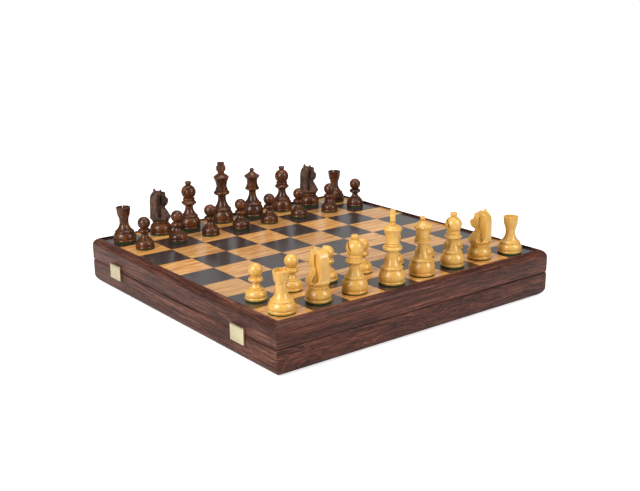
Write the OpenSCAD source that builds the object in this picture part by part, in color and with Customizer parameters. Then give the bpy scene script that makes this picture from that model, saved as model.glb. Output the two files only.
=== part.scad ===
// Chess box with its men: two shallow mitred shells close at mid height on two butt hinges
// and two brass clasps. The lid's top is the board, sunk below a thin rim, and the base
// holds a lined tray for the men. All lengths are in millimetres.
// +X points to the light player, -Y to the clasps, +Y to the hinges, and the origin is the
// middle of the underside.

/* [Board] */
// Side of one square of the board
square_w = 47; // [44:0.5:60]
// Width of the raised rim around the squares
rim_w = 7; // [6:0.5:9]
// Depth of the playing surface below the rim
recess = 2.8; // [1.5:0.1:4]
// Thickness of the board's core
board_core_t = 5; // [4:0.5:7]
// Thickness of one veneer square
veneer_t = 0.8; // [0.6:0.1:1.5]
// Joint left between two veneer squares
veneer_joint = 0.1; // [0.05:0.05:0.3]

/* [Case] */
// Height of the base shell, from the table to the seam
base_h = 29; // [27:0.5:36]
// Height of the lid shell, from the seam to the top of the rim
lid_h = 27.8; // [25:0.1:36]
// Gap between the two shells when the box is shut
seam_gap = 0.2; // [0.1:0.1:0.5]
// Thickness of the side rails
rail_t = 12; // [11:0.5:15]
// Radius of the long outer edges
edge_r = 8; // [5:0.5:9]
// Chamfer on each shell along the seam
seam_chamfer = 0.9; // [0.4:0.1:1.5]
// Thickness of the bottom panel
base_panel_t = 4; // [3:0.5:6]
// Thickness of the felt linings
lining_t = 1; // [0.6:0.1:2]

/* [Tray] */
// Thickness of the tray's dividers
divider_t = 5; // [3:0.5:8]
// Height of the dividers above the lining
divider_h = 19; // [12:0.5:20]
// Length of the stalls that hold the large men
stall_l = 88; // [84:1:100]

/* [Hinges] */
// Length of a hinge along its pin
hinge_w = 42; // [36:1:60]
// Distance from the end of the box to the middle of a hinge
hinge_inset = 72; // [50:1:100]
// Thickness of a leaf
leaf_t = 1; // [0.8:0.1:1.4]
// Width of the leaf let into the rail
leaf_in = 8; // [7:0.5:9]
// Radius of the knuckles
knuckle_r = 2.4; // [2.2:0.1:3]
// Radius of the hinge pin
hinge_pin_r = 1.2; // [1:0.1:1.4]
// Radius of a screw's shank
screw_r = 1; // [0.8:0.1:1.2]
// Radius of a screw's head
screw_head_r = 2; // [1.7:0.1:2.3]
// Length of a screw
screw_l = 10; // [7:0.5:12]

/* [Clasps] */
// Width of a clasp's flap
clasp_w = 24; // [20:0.5:30]
// Reach of the flap above the seam
clasp_up = 8.5; // [8:0.5:11]
// Reach of the flap below the seam
clasp_down = 9.5; // [8:0.5:12]
// How far the flap stands out from the rail
clasp_depth = 3.2; // [3:0.1:4]
// Thickness of the flap's sheet
clasp_sheet = 1; // [0.8:0.1:1.2]
// Thickness of the plates on the rails
clasp_plate_t = 0.8; // [0.6:0.1:1]
// Radius of the clasp's knuckles
clasp_knuckle_r = 1.3; // [1.1:0.1:1.4]
// Radius of the clasp's pin
clasp_pin_r = 0.6; // [0.4:0.1:0.7]
// Distance from the end of the box to the middle of a clasp
clasp_inset = 64; // [40:1:90]

/* [Men] */
// Height of a king, with its felt and cross
king_h = 79.5; // [70:0.5:90]
// Diameter of a king's base
king_d = 29.2; // [26:0.2:34]
// Height of a queen
queen_h = 65.4; // [56:0.2:74]
// Diameter of a queen's base
queen_d = 28.8; // [25:0.2:34]
// Height of a bishop
bishop_h = 61.5; // [54:0.5:70]
// Diameter of a bishop's base
bishop_d = 27.4; // [24:0.2:32]
// Height of a knight
knight_h = 58; // [50:0.5:66]
// Diameter of a knight's base
knight_d = 27.6; // [24:0.2:32]
// Height of a rook
rook_h = 43.2; // [38:0.2:52]
// Diameter of a rook's base
rook_d = 28.2; // [25:0.2:32]
// Height of a pawn
pawn_h = 39; // [34:0.5:46]
// Diameter of a pawn's base
pawn_d = 22.8; // [20:0.2:27]
// Thickness of the felt under a man
felt_t = 0.8; // [0.5:0.1:1.2]

/* [Fits] */
// Clearance round a pin that turns
running_fit = 0.05; // [0.03:0.01:0.1]
// Clearance round a pin or screw that stays put
fixed_fit = 0.02; // [0.01:0.01:0.04]
// Clearance between moving sheet parts
swing_gap = 0.4; // [0.3:0.05:0.5]
// Clearance round a part that lies in a pocket
pocket_gap = 0.1; // [0.05:0.05:0.2]

/* [Hidden] */

$fn = 64;

// Colours of the finishes
wenge = "#3b2721";
oak = "#c08a45";
ebonised = "#2b2226";
plywood = "#7a5a3c";
felt_red = "#5a1f22";
brass = "#cdb06a";
boxwood = "#e0bd72";
rosewood = "#4a2316";

// One overrun serves every cut
cut = edge_r / 8;
// Squares along one side of the board
squares = 8;
// Points on each round stretch of an outline
arc_steps = 6;

field_w = squares * square_w;
box_side = field_w + 2 * rim_w;
inner_w = box_side - 2 * rail_t;
half_box = box_side / 2;
lid_z = base_h + seam_gap;
total_h = base_h + lid_h;
board_z = total_h - recess;
veneer_z = board_z - veneer_t;
core_z = veneer_z - board_core_t;
lining_z = core_z - lining_t;
tray_z = base_panel_t + lining_t;
// The rebate under the base leaves the full round of the outer edge
rebate_w = rail_t - edge_r;

// Outlines

// Points on the arc from p towards q. The arc rises from the chord by bulge times the
// chord's length, to the right of the way from p to q.
function arc_between(p, q, bulge) = bulge == 0 ? [p] :
    let (half = 2 * atan(2 * bulge), chord = q - p, side = [chord[1], -chord[0]])
    [for (k = [0:arc_steps - 1])
        let (a = (2 * k / arc_steps - 1) * half)
        p + chord * (1 + sin(a) / sin(half)) / 2
          + side * (cos(a) - cos(half)) / sin(half) / 2];

// Turns a list of [x share, y share, bulge] into points, w wide and h high
function outline(shares, w, h) = [
    for (k = [0:len(shares) - 1])
        let (s = shares[k], t = shares[(k + 1) % len(shares)])
        each arc_between([s[0] * w, s[1] * h], [t[0] * w, t[1] * h], s[2])
];

// A turned body from its outline, radius r and height h
module turned(shares, r, h) {
    rotate_extrude() polygon(outline(shares, r, h));
}

// Case

// Keeps the front quarter of the box, which gives a rail its two mitres
module front_quarter() {
    reach = half_box + cut;
    translate([0, 0, -cut])
        linear_extrude(total_h + 2 * cut)
            polygon([[-reach, -reach], [reach, -reach], [0, 0]]);
}

// A mitred rail along the front, from a section drawn inwards and upwards
module mitred_rail() {
    intersection() {
        translate([-half_box - cut, -half_box, 0])
            rotate([90, 0, 90])
                linear_extrude(box_side + 2 * cut) children();
        front_quarter();
    }
}

// What a rounded outer edge takes away at the corner of a section
module edge_round() {
    difference() {
        translate([-cut, -cut]) square([edge_r + cut, edge_r + cut]);
        translate([edge_r, edge_r]) circle(r = edge_r);
    }
}

// What the chamfer takes away at the outer end of the seam
module seam_bevel() {
    polygon([[-cut, -cut], [seam_chamfer + cut, -cut], [-cut, seam_chamfer + cut]]);
}

module base_section() {
    difference() {
        square([rail_t, base_h]);
        edge_round();
        translate([0, base_h]) mirror([0, 1]) seam_bevel();
        translate([rail_t - rebate_w, -cut]) square([rebate_w + cut, base_panel_t + cut]);
    }
}

module lid_section() {
    difference() {
        translate([0, lid_z]) square([rail_t, total_h - lid_z]);
        translate([0, total_h]) mirror([0, 1]) edge_round();
        translate([0, lid_z]) seam_bevel();
        translate([rim_w, core_z]) square([rail_t - rim_w + cut, total_h - core_z + cut]);
    }
}

module base_rail() {
    color(wenge) mitred_rail() base_section();
}

module lid_rail() {
    color(wenge) mitred_rail() lid_section();
}

module base_back_rail() {
    color(wenge) difference() {
        rotate([0, 0, 180]) mitred_rail() base_section();
        each_hinge() leaf_pocket(-1);
        each_hinge() screw_holes(-1);
    }
}

module lid_back_rail() {
    color(wenge) difference() {
        rotate([0, 0, 180]) mitred_rail() lid_section();
        each_hinge() leaf_pocket(1);
        each_hinge() screw_holes(1);
    }
}

module base_panel() {
    panel_w = inner_w + 2 * rebate_w;
    color(plywood) translate([-panel_w / 2, -panel_w / 2, 0])
        cube([panel_w, panel_w, base_panel_t]);
}

module base_lining() {
    color(felt_red) translate([-inner_w / 2, -inner_w / 2, base_panel_t])
        cube([inner_w, inner_w, lining_t]);
}

// The dividers make a row of stalls for the large men along the clasp side and another
// along the hinge side, with two bins for the pawns between them
stalls = 8;
stall_pitch = (inner_w + divider_t) / stalls;
wall_y = inner_w / 2 - stall_l - divider_t / 2;

module storage_dividers() {
    color(felt_red) {
        for (y = [-wall_y, 0, wall_y])
            translate([-inner_w / 2, y - divider_t / 2, tray_z])
                cube([inner_w, divider_t, divider_h]);
        for (side = [-1, 1], k = [1:stalls - 1])
            translate([-inner_w / 2 + k * stall_pitch - divider_t,
                       side > 0 ? inner_w / 2 - stall_l + pocket_gap : -inner_w / 2, tray_z])
                cube([divider_t, stall_l - pocket_gap, divider_h]);
    }
}

// Board

module board_panel() {
    color(plywood) translate([-field_w / 2, -field_w / 2, core_z])
        cube([field_w, field_w, board_core_t]);
}

// All the squares of one colour: parity 0 holds the corner at the light player's left
module squares_of(parity) {
    side = square_w - veneer_joint;
    for (i = [0:squares - 1], j = [0:squares - 1])
        if ((i + j) % 2 == parity)
            translate([field_w / 2 - (i + 1) * square_w + veneer_joint / 2,
                       -field_w / 2 + j * square_w + veneer_joint / 2, veneer_z])
                cube([side, side, veneer_t]);
}

module light_squares() {
    color(oak) squares_of(0);
}

module dark_squares() {
    color(ebonised) squares_of(1);
}

module lid_lining() {
    color(felt_red) translate([-inner_w / 2, -inner_w / 2, lining_z])
        cube([inner_w, inner_w, lining_t]);
}

// Hinges, drawn round the middle of their pin, with +Y pointing away from the box

pin_z = base_h + seam_gap / 2;
pin_out = knuckle_r + swing_gap;
hinge_knuckles = 5;
knuckle_l = hinge_w / hinge_knuckles;
hinge_screws = 3;
hinge_x = half_box - hinge_inset;
// Depth of the countersink, at 45 degrees
sink_h = screw_head_r - screw_r;

module at_hinge(side) {
    translate([side * hinge_x, half_box + pin_out, pin_z]) children();
}

module each_hinge() {
    for (side = [-1, 1]) at_hinge(side) children();
}

// A cylinder along X, centred on the pin
module along_pin(r, l) {
    translate([-l / 2, 0, 0]) rotate([0, 90, 0]) cylinder(r = r, h = l);
}

// The knuckles with an even or an odd number, grown by gap
module hinge_barrels(parity, gap) {
    for (k = [0:hinge_knuckles - 1])
        if (k % 2 == parity)
            translate([(k - (hinge_knuckles - 1) / 2) * knuckle_l, 0, 0])
                along_pin(knuckle_r + gap, knuckle_l - running_fit + 2 * gap);
}

// side is -1 for the leaf on the base and 1 for the leaf on the lid
module hinge_leaf(side) {
    parity = side < 0 ? 0 : 1;
    low = side < 0 ? -seam_gap / 2 - leaf_t : seam_gap / 2;
    color(brass) difference() {
        union() {
            difference() {
                translate([-hinge_w / 2, -pin_out - leaf_in, low])
                    cube([hinge_w, pin_out + leaf_in, leaf_t]);
                hinge_barrels(1 - parity, swing_gap / 2);
            }
            hinge_barrels(parity, 0);
        }
        along_pin(hinge_pin_r + (side < 0 ? fixed_fit : running_fit), hinge_w + 2 * cut);
        screw_holes(side);
    }
}

// The pocket in a rail's seam face for a leaf
module leaf_pocket(side) {
    deep = seam_gap / 2 + leaf_t;
    translate([-hinge_w / 2 - pocket_gap, -pin_out - leaf_in - pocket_gap, side < 0 ? -deep : -cut])
        cube([hinge_w + 2 * pocket_gap, leaf_in + pocket_gap + pin_out, deep + cut]);
}

// Places its children at a leaf's screws, with the screw pointing up into the lid
module at_screws(side) {
    for (k = [0:hinge_screws - 1])
        translate([(k - (hinge_screws - 1) / 2) * hinge_w / hinge_screws,
                   -pin_out - leaf_in / 2, side * seam_gap / 2])
            mirror([0, 0, side < 0 ? 1 : 0]) children();
}

module countersunk(gap) {
    translate([0, 0, -gap]) cylinder(r1 = screw_head_r + gap, r2 = screw_r + gap, h = sink_h + gap);
    translate([0, 0, -gap]) cylinder(r = screw_r + gap, h = screw_l + 2 * gap);
}

module screw_holes(side) {
    at_screws(side) countersunk(fixed_fit);
}

module hinge_screws(side) {
    slot_w = screw_head_r / 4;
    color(brass) each_hinge() at_screws(side) difference() {
        countersunk(0);
        translate([-screw_head_r - cut, -slot_w / 2, -cut])
            cube([2 * screw_head_r + 2 * cut, slot_w, cut + sink_h / 2]);
    }
}

module hinge_pin() {
    color(brass) along_pin(hinge_pin_r, hinge_w);
}

// Clasps, drawn round the seam, with +Y pointing away from the rail

clasp_x = half_box - clasp_inset;
clasp_pin_z = clasp_up - clasp_knuckle_r;
clasp_pin_y = clasp_knuckle_r + swing_gap;
clasp_knuckles = 5;
clasp_knuckle_l = clasp_w / clasp_knuckles;
// The plates behind the flap keep clear of its sides
clasp_plate_w = clasp_w - 2 * clasp_sheet - 2 * swing_gap;
catch_w = clasp_w / 2;
catch_top = 1.8 * seam_chamfer;
catch_bottom = 0.85 * clasp_down;
ridge_r = clasp_depth - clasp_sheet - swing_gap - clasp_plate_t;

module at_clasp(side) {
    translate([side * clasp_x, -half_box, base_h]) rotate([0, 0, 180]) children();
}

module each_clasp() {
    for (side = [-1, 1]) at_clasp(side) children();
}

module clasp_barrels(parity, gap) {
    for (k = [0:clasp_knuckles - 1])
        if (k % 2 == parity)
            translate([(k - (clasp_knuckles - 1) / 2) * clasp_knuckle_l, clasp_pin_y, clasp_pin_z])
                along_pin(clasp_knuckle_r + gap, clasp_knuckle_l - running_fit + 2 * gap);
}

module clasp_bore(gap) {
    translate([0, clasp_pin_y, clasp_pin_z]) along_pin(clasp_pin_r + gap, clasp_w + 2 * cut);
}

// A folded sheet: the face, and a side on each end that reaches back to the rail
module clasp_flap() {
    flap_h = clasp_down + clasp_pin_z;
    color(brass) difference() {
        union() {
            difference() {
                translate([-clasp_w / 2, swing_gap, -clasp_down])
                    cube([clasp_w, clasp_depth - swing_gap, flap_h]);
                translate([-clasp_w / 2 + clasp_sheet, 0, -clasp_down - cut])
                    cube([clasp_w - 2 * clasp_sheet, clasp_depth - clasp_sheet, flap_h + 2 * cut]);
                clasp_barrels(1, swing_gap / 2);
            }
            clasp_barrels(0, 0);
        }
        clasp_bore(running_fit);
    }
}

// The plate on the lid that carries the pin
module clasp_leaf() {
    plate_h = clasp_pin_z - catch_top;
    notch_h = clasp_knuckle_r + swing_gap;
    color(brass) difference() {
        union() {
            difference() {
                translate([-clasp_plate_w / 2, 0, catch_top])
                    cube([clasp_plate_w, clasp_plate_t, plate_h]);
                for (k = [0:2:clasp_knuckles - 1])
                    translate([(k - clasp_knuckles / 2) * clasp_knuckle_l - swing_gap / 2, -cut,
                               clasp_pin_z - notch_h])
                        cube([clasp_knuckle_l + swing_gap, clasp_plate_t + 2 * cut, notch_h + cut]);
            }
            clasp_barrels(1, 0);
        }
        clasp_bore(fixed_fit);
    }
}

// The plate on the base, with the ridge that the flap snaps over
module clasp_catch() {
    ridge_z = -(catch_top + catch_bottom) / 2;
    color(brass) {
        translate([-catch_w / 2, 0, -catch_bottom])
            cube([catch_w, clasp_plate_t, catch_bottom - catch_top]);
        intersection() {
            translate([0, clasp_plate_t, ridge_z]) along_pin(ridge_r, 0.8 * catch_w);
            translate([-catch_w / 2, 0, -catch_bottom])
                cube([catch_w, clasp_depth, catch_bottom]);
        }
    }
}

module clasp_pin() {
    color(brass) translate([0, clasp_pin_y, clasp_pin_z])
        along_pin(clasp_pin_r, clasp_w - 2 * fixed_fit);
}

// Men. Each outline is a list of [radius share, height share, bulge]: the radius as a share
// of the base's, the height as a share of the man's, and how far the line bows outwards
// before the next point.

king_shares = [
    [0, 0, 0], [0.95, 0, 0.2], [0.96, 0.035, 0], [0.93, 0.039, 0], [0.96, 0.045, 0.13],
    [0.74, 0.190, 0], [0.78, 0.196, 0.3], [0.75, 0.226, -0.13], [0.385, 0.440, 0],
    [0.60, 0.455, 0.35], [0.63, 0.510, 0], [0.52, 0.515, 0.4], [0.52, 0.542, 0],
    [0.48, 0.546, 0.4], [0.48, 0.574, 0], [0.46, 0.578, -0.06], [0.70, 0.742, 0.2],
    [0.66, 0.757, 0.08], [0.24, 0.806, 0], [0, 0.806, 0]
];
queen_shares = [
    [0, 0, 0], [0.95, 0, 0.2], [0.96, 0.042, 0], [0.93, 0.047, 0], [0.96, 0.055, 0.12],
    [0.79, 0.228, 0], [0.83, 0.234, 0.3], [0.80, 0.266, -0.14], [0.355, 0.535, 0],
    [0.58, 0.550, 0.35], [0.62, 0.590, 0], [0.53, 0.595, 0.4], [0.53, 0.625, 0],
    [0.48, 0.630, 0.4], [0.48, 0.660, 0], [0.49, 0.665, -0.05], [0.52, 0.775, 0],
    [0.69, 0.815, 0.25], [0.63, 0.855, -0.06], [0.22, 0.925, 0], [0.12, 0.930, 0.38],
    [0.07, 0.998, 0], [0, 1, 0]
];
bishop_shares = [
    [0, 0, 0], [0.95, 0, 0.2], [0.96, 0.045, 0], [0.93, 0.050, 0], [0.96, 0.058, 0.15],
    [0.72, 0.245, 0], [0.76, 0.250, 0.3], [0.74, 0.275, -0.12], [0.37, 0.480, 0],
    [0.48, 0.490, 0], [0.66, 0.528, 0.35], [0.66, 0.558, 0], [0.50, 0.606, 0.4],
    [0.50, 0.645, 0], [0.44, 0.655, 0.28], [0.27, 0.915, 0], [0.22, 0.922, 0],
    [0.26, 0.940, 0.2], [0.22, 1, 0], [0, 1, 0]
];
knight_shares = [
    [0, 0, 0], [0.95, 0, 0.2], [0.96, 0.048, 0], [0.93, 0.053, 0], [0.96, 0.062, 0.16],
    [0.74, 0.225, 0], [0.69, 0.235, 0], [0.69, 0.245, 0.4], [0.69, 0.280, 0], [0, 0.280, 0]
];
rook_shares = [
    [0, 0, 0], [0.95, 0, 0.2], [0.96, 0.065, 0], [0.93, 0.071, 0], [0.96, 0.083, 0.14],
    [0.78, 0.262, 0], [0.81, 0.268, 0.3], [0.78, 0.300, -0.14], [0.41, 0.620, 0],
    [0.43, 0.700, 0.16], [0.555, 0.790, 0], [0.62, 0.985, 0.3], [0.60, 1, 0], [0.50, 1, 0],
    [0.48, 0.930, 0], [0, 0.930, 0]
];
pawn_shares = [
    [0, 0, 0], [0.95, 0, 0.2], [0.96, 0.072, 0], [0.93, 0.078, 0], [0.96, 0.090, 0.18],
    [0.66, 0.268, 0], [0.68, 0.275, 0.3], [0.62, 0.303, -0.14], [0.335, 0.462, 0],
    [0.46, 0.480, 0.47], [0.46, 0.612, 0], [0.36, 0.631, 0.37], [0.02, 1, 0], [0, 1, 0]
];

// The foot's felt, and the wood above it
module footed(shares, d, h, wood) {
    felt_share = 0.9;
    color("darkgreen") cylinder(r = felt_share * d / 2, h = felt_t);
    color(wood) translate([0, 0, felt_t]) turned(shares, d / 2, h - felt_t);
}

cross_w_share = 0.075;
cross_t_share = 0.070;
// Half of the cross, from its foot up
cross_shares = [[0.70, 0], [0.70, 0.24], [1, 0.33], [1, 0.66], [0.72, 0.73], [0.74, 1]];

module king(wood) {
    cross_z = 0.80 * king_h;
    cross_w = cross_w_share * king_h;
    cross_t = cross_t_share * king_h;
    right = [for (s = cross_shares) [s[0] * cross_w, s[1] * (king_h - cross_z)]];
    left = [for (k = [len(right) - 1:-1:0]) [-right[k][0], right[k][1]]];
    footed(king_shares, king_d, king_h, wood);
    color(wood) translate([0, cross_t / 2, cross_z])
        rotate([90, 0, 0]) linear_extrude(cross_t) polygon(concat(right, left));
}

coronet_points = 9;

module queen(wood) {
    notch_z = 0.845 * queen_h;
    notch_r = 0.075 * queen_d;
    color(wood) difference() {
        footed(queen_shares, queen_d, queen_h, wood);
        for (k = [0:coronet_points - 1])
            rotate([0, 0, k * 360 / coronet_points])
                translate([0.385 * queen_d, 0, notch_z])
                    rotate([0, -35, 0]) cylinder(r = notch_r, h = 4 * notch_r, center = true);
    }
}

// The saw cut in the mitre leans outwards as it rises
module bishop(wood) {
    slot_w = 0.02 * bishop_h;
    slot_l = 0.3 * bishop_h;
    color(wood) difference() {
        footed(bishop_shares, bishop_d, bishop_h, wood);
        translate([0.02 * bishop_d, 0, 0.75 * bishop_h])
            rotate([0, 28, 0])
                translate([0, -slot_l, 0]) cube([slot_w, 2 * slot_l, slot_l]);
    }
}

rook_notches = 6;

// Each notch in the turret is sawn down to a small drilled hole
module rook(wood) {
    notch_w = 0.035 * rook_d;
    notch_h = 0.05 * rook_h;
    color(wood) difference() {
        footed(rook_shares, rook_d, rook_h, wood);
        for (k = [0:rook_notches - 1])
            rotate([0, 0, (k + 1 / 2) * 360 / rook_notches])
                translate([0, 0, rook_h - notch_h]) {
                    translate([0, -notch_w / 2, 0]) cube([rook_d, notch_w, notch_h + cut]);
                    rotate([0, 90, 0]) cylinder(r = 0.8 * notch_w, h = rook_d);
                }
    }
}

module pawn(wood) {
    footed(pawn_shares, pawn_d, pawn_h, wood);
}

// A knight above its foot, without its ears, seen from its right side: x forward as a share
// of the base's radius
knight_side_shares = [
    [-0.69, 0.280, 0], [0.69, 0.280, 0], [0.93, 0.365, 0], [0.90, 0.400, 0], [0.26, 0.590, 0],
    [0.34, 0.622, 0.1], [0.60, 0.640, 0.12], [0.75, 0.690, 0.2], [0.67, 0.775, -0.1],
    [0.38, 0.850, 0], [0.40, 0.905, 0.1], [0.10, 0.940, 0], [-0.40, 0.945, 0.14],
    [-0.86, 0.780, 0.03], [-0.86, 0.420, 0], [-0.93, 0.365, 0]
];
// Half of the chest and the face from the front, and half of the mane, as shares of the
// base's radius
face_front_shares = [
    [0, 0.280], [0.69, 0.280], [0.93, 0.365], [0.90, 0.400], [0.37, 0.590], [0.40, 0.620],
    [0.47, 0.690], [0.45, 0.800], [0.37, 0.905], [0.32, 0.945], [0, 0.945]
];
mane_front_shares = [
    [0, 0.280], [0.69, 0.280], [0.93, 0.365], [0.50, 0.400], [0.36, 0.600], [0.30, 0.945],
    [0, 0.945]
];
// The turned hem that limits the skirt all round
skirt_shares = [[0, 0.280, 0], [0.69, 0.280, 0], [0.95, 0.365, 0], [0.95, 1, 0], [0, 1, 0]];
// The hollow between the mane and the neck, seen from the side
flank_shares = [
    [0.05, 0.345, 0.06], [0.20, 0.520, 0.08], [-0.03, 0.860, 0], [-0.15, 0.860, 0.12],
    [-0.48, 0.580, 0.15]
];

// Both halves of a front view, extruded along X
module from_front(shares, long) {
    right = [for (s = shares) [s[0] * knight_d / 2, s[1] * knight_h]];
    left = [for (k = [len(right) - 1:-1:0]) [-right[k][0], right[k][1]]];
    rotate([90, 0, 90]) linear_extrude(long) polygon(concat(right, left));
}

// A side view, extruded along Y to both sides
module from_side(shares, wide) {
    rotate([90, 0, 0]) linear_extrude(wide, center = true)
        polygon(outline(shares, knight_d / 2, knight_h));
}

// The head is carved from a block as wide as the skirt. The mane stands behind as a slab,
// and a deep hollow on each side parts it from the jaw and the neck.
module knight_head() {
    r = knight_d / 2;
    mane_x = -0.1 * r;
    core_w = 0.38 * r;
    cheek_z = 0.6 * knight_h;
    difference() {
        intersection() {
            from_side(knight_side_shares, knight_d);
            turned(skirt_shares, r, knight_h);
            union() {
                translate([mane_x, 0, 0]) from_front(face_front_shares, knight_d);
                translate([mane_x - knight_d, 0, 0]) from_front(mane_front_shares, knight_d);
            }
        }
        for (side = [-1, 1]) {
            translate([0, side * (core_w + knight_d) / 2, 0]) from_side(flank_shares, knight_d);
            // The cheeks narrow to the muzzle
            translate([0.15 * r, side * 0.47 * r, cheek_z])
                rotate([0, 0, -side * 17])
                    translate([0, side > 0 ? 0 : -r, 0]) cube([r, r, knight_h]);
        }
    }
    for (side = [-1, 1]) {
        translate([0.28 * r, side * 0.38 * r, 0.865 * knight_h]) sphere(r = 0.09 * r);
        knight_ear(side);
    }
}

module knight_ear(side) {
    ear_h = 0.15 * knight_h;
    ear_r = 0.115 * knight_d;
    translate([-0.13 * knight_d, side * 0.125 * knight_d, knight_h - ear_h])
        rotate([-6 * side, 0, 0])
            scale([1, 0.75, 1]) cylinder(r1 = ear_r, r2 = ear_r / 8, h = ear_h);
}

module knight(wood) {
    footed(knight_shares, knight_d, knight_h, wood);
    color(wood) knight_head();
}

// Places are [rank, file] in shares of a square, counted from the corner at the light
// player's left. The players set the men down by hand, a little off their squares' middles.
light_pawn_place_shares = [
    [0.96, -0.02], [1, 0.96], [1.02, 1.98], [1, 3], [1, 4], [1, 5], [1, 6], [1, 7]
];
dark_pawn_place_shares = [
    [6.02, 0.04], [6.06, 1.02], [6.06, 2.02], [6.08, 3], [6.10, 3.96], [6.10, 4.98],
    [6.04, 6.04], [6.06, 7.02]
];

// Every man: node name, kind, place and the way it faces, in degrees from +X
MEN = concat(
    [for (k = [0:squares - 1]) [str("light_pawn_", k + 1), "pawn", light_pawn_place_shares[k], 0]],
    [for (k = [0:squares - 1]) [str("dark_pawn_", k + 1), "pawn", dark_pawn_place_shares[k], 0]],
    [["light_rook_1", "rook", [-0.04, -0.06], 13],
     ["light_knight_1", "knight", [0.04, 0.96], 178],
     ["light_bishop_1", "bishop", [0, 1.94], 210],
     ["light_king", "king", [-0.04, 3], -42],
     ["light_queen", "queen", [0, 3.96], 0],
     ["light_bishop_2", "bishop", [0.02, 4.98], 204],
     ["light_knight_2", "knight", [0.06, 5.94], 246],
     ["light_rook_2", "rook", [-0.08, 6.88], 21],
     ["dark_rook_1", "rook", [6.96, -0.04], 10],
     ["dark_knight_1", "knight", [7.02, 1.06], 18],
     ["dark_bishop_1", "bishop", [7, 1.94], 10],
     ["dark_king", "king", [7.04, 3.02], 50],
     ["dark_queen", "queen", [7.04, 4.04], 0],
     ["dark_bishop_2", "bishop", [7.02, 5.06], 144],
     ["dark_knight_2", "knight", [7.04, 6.06], 14],
     ["dark_rook_2", "rook", [6.96, 6.96], 0]]
);

module man(m) {
    wood = m[2][0] < squares / 2 ? boxwood : rosewood;
    near_corner = [field_w / 2, -field_w / 2, board_z];
    middle = [m[2][0] + 1 / 2, m[2][1] + 1 / 2] * square_w;
    translate(near_corner + [-middle[0], middle[1], 0])
        rotate([0, 0, m[3]]) {
            if (m[1] == "king") king(wood);
            if (m[1] == "queen") queen(wood);
            if (m[1] == "bishop") bishop(wood);
            if (m[1] == "knight") knight(wood);
            if (m[1] == "rook") rook(wood);
            if (m[1] == "pawn") pawn(wood);
        }
}

base_rail();  // base_front_rail
base_back_rail();
rotate([0, 0, 270]) base_rail();  // base_left_rail
rotate([0, 0, 90]) base_rail();  // base_right_rail
base_panel();
base_lining();
storage_dividers();
lid_rail();  // lid_front_rail
lid_back_rail();
rotate([0, 0, 270]) lid_rail();  // lid_left_rail
rotate([0, 0, 90]) lid_rail();  // lid_right_rail
board_panel();
light_squares();
dark_squares();
lid_lining();
at_hinge(-1) hinge_leaf(-1);  // left_hinge_base_leaf
at_hinge(1) hinge_leaf(-1);  // right_hinge_base_leaf
at_hinge(-1) hinge_leaf(1);  // left_hinge_lid_leaf
at_hinge(1) hinge_leaf(1);  // right_hinge_lid_leaf
at_hinge(-1) hinge_pin();  // left_hinge_pin
at_hinge(1) hinge_pin();  // right_hinge_pin
hinge_screws(-1);  // hinge_screws_base
hinge_screws(1);  // hinge_screws_lid
at_clasp(-1) clasp_flap();  // left_clasp_flap
at_clasp(1) clasp_flap();  // right_clasp_flap
each_clasp() clasp_leaf();  // clasp_leaves
each_clasp() clasp_catch();  // clasp_catches
each_clasp() clasp_pin();  // clasp_pins
for (m = MEN)
    man(m);
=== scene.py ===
# %% [markdown]
# Chess box with its men
#
# The object is a shallow square box of dark veneer. Its lid is a chess board, two brass clasps
# hold it shut in front and two hinges carry it behind, and the men stand on it. This file
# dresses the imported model: each cell makes one piece or one finish, in metres, in the frame of
# the model, so that every piece lands where the solids are and moves with its body.

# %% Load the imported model
import math

import bpy
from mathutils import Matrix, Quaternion, Vector


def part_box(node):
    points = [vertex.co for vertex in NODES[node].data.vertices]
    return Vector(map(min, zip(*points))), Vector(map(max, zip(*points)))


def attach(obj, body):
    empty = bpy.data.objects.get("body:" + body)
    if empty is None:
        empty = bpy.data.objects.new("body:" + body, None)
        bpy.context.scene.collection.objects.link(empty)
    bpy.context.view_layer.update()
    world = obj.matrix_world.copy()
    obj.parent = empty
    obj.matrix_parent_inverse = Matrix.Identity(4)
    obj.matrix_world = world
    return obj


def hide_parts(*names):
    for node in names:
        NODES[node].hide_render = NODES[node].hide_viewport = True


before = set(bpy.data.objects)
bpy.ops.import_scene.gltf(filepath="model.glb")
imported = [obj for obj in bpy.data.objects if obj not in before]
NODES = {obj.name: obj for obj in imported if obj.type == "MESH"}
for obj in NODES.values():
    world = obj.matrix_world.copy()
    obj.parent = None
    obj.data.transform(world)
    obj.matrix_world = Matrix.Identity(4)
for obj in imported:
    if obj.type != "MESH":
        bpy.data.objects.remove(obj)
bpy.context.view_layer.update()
bpy.ops.object.select_all(action="DESELECT")
MM = 0.001

# %% [markdown]
# Sizes come from the model, so a change of size there moves everything here. The board gives
# the side of a square, and the rails give the two shells.

# %% Sizes of the box
CASE_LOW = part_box("base_left_rail")[0].x
CASE_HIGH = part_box("base_right_rail")[1].x
BASE_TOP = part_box("base_front_rail")[1].z
LID_BOTTOM, LID_TOP = (corner.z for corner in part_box("lid_front_rail"))
INNER_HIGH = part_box("base_lining")[1].x
BOARD_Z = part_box("light_squares")[1].z
CORE_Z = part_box("board_panel")[0].z
FIELD_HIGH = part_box("board_panel")[1].x
SQUARES = 8
SQUARE = 2 * FIELD_HIGH / SQUARES
print(f"square {SQUARE / MM:.1f} mm, case {(CASE_HIGH - CASE_LOW) / MM:.1f} mm")

# %% [markdown]
# The camera stands low, off the near corner, as in the photo. Its place, its lens and its
# slight roll were worked out from the corners of the squares. It is turned by a quaternion
# that points its -Z axis at the aim, which is simpler than finding three angles.

# %% Camera
CAMERA_PLACE = Vector((907.4, -695.7, 383.8)) * MM
CAMERA_AIM = Vector((5.3, 5.6, 54.0)) * MM
CAMERA_LENS = 55.72
CAMERA_ROLL = -0.495

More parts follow.
